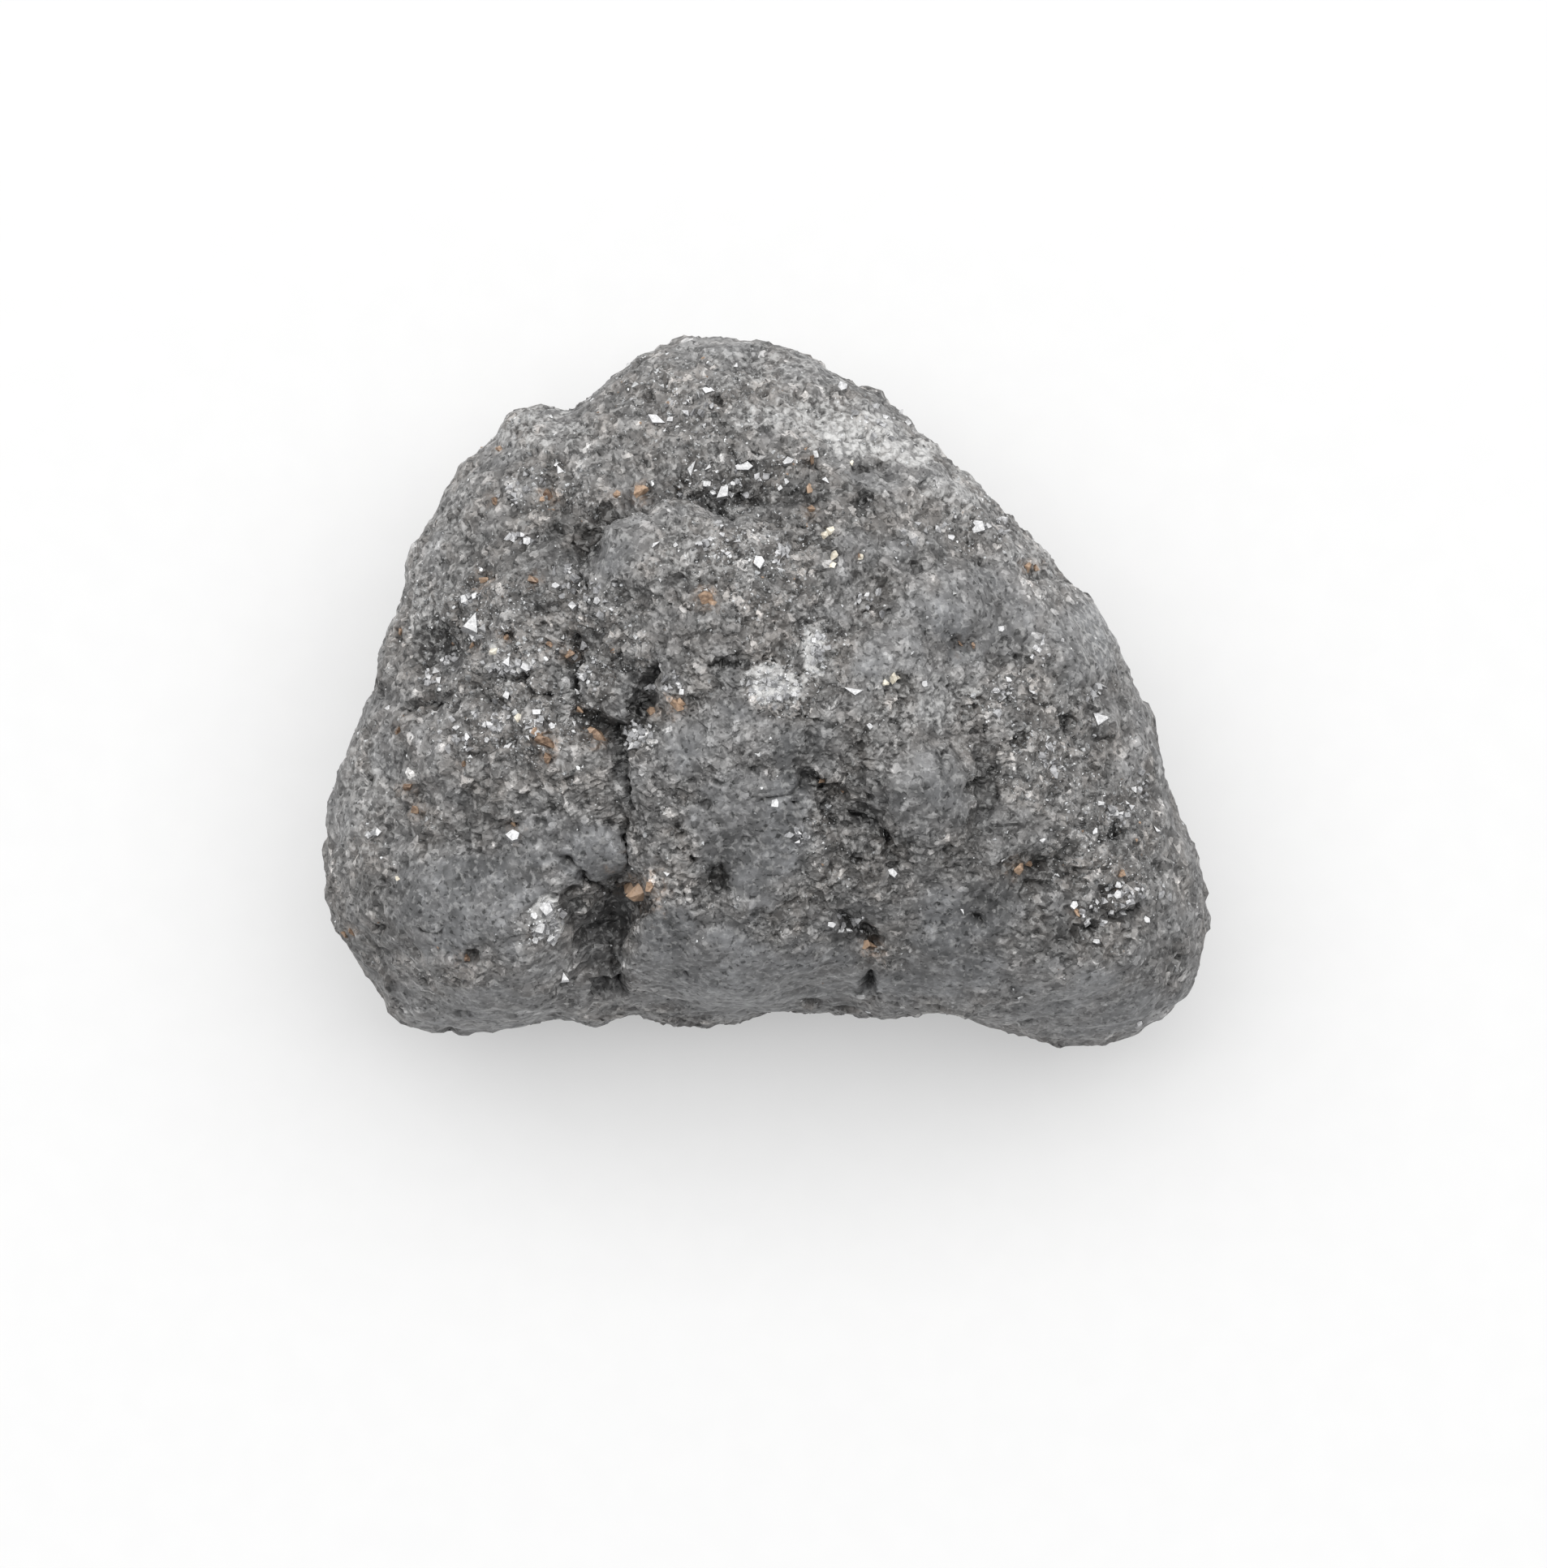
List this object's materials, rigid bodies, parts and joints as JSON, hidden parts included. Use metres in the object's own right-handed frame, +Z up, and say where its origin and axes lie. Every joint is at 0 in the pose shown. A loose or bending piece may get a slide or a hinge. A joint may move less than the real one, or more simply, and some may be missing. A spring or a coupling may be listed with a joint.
{
  "type": "rough diamond",
  "caption": "Lumpy dark grey rough diamond of the carbonado habit, a granular natural stone with sparkling crystal faces, clefts and pits, resting on a small worn flat.",
  "frame": {"origin": "middle of the stone's box in plan, on the surface it rests on", "axes": "+X along the stone's longest side, +Y towards the rounded narrow end, +Z up from the worn flat to the crown"},
  "size_m": [0.014, 0.0112, 0.008],
  "materials": {
    "stone": "satin",
    "crystal": "gloss",
    "rust_grain": "satin",
    "cream_grain": "satin"
  },
  "bodies": {
    "root": {"rough_diamond": "stone"}
  },
  "joints": []
}
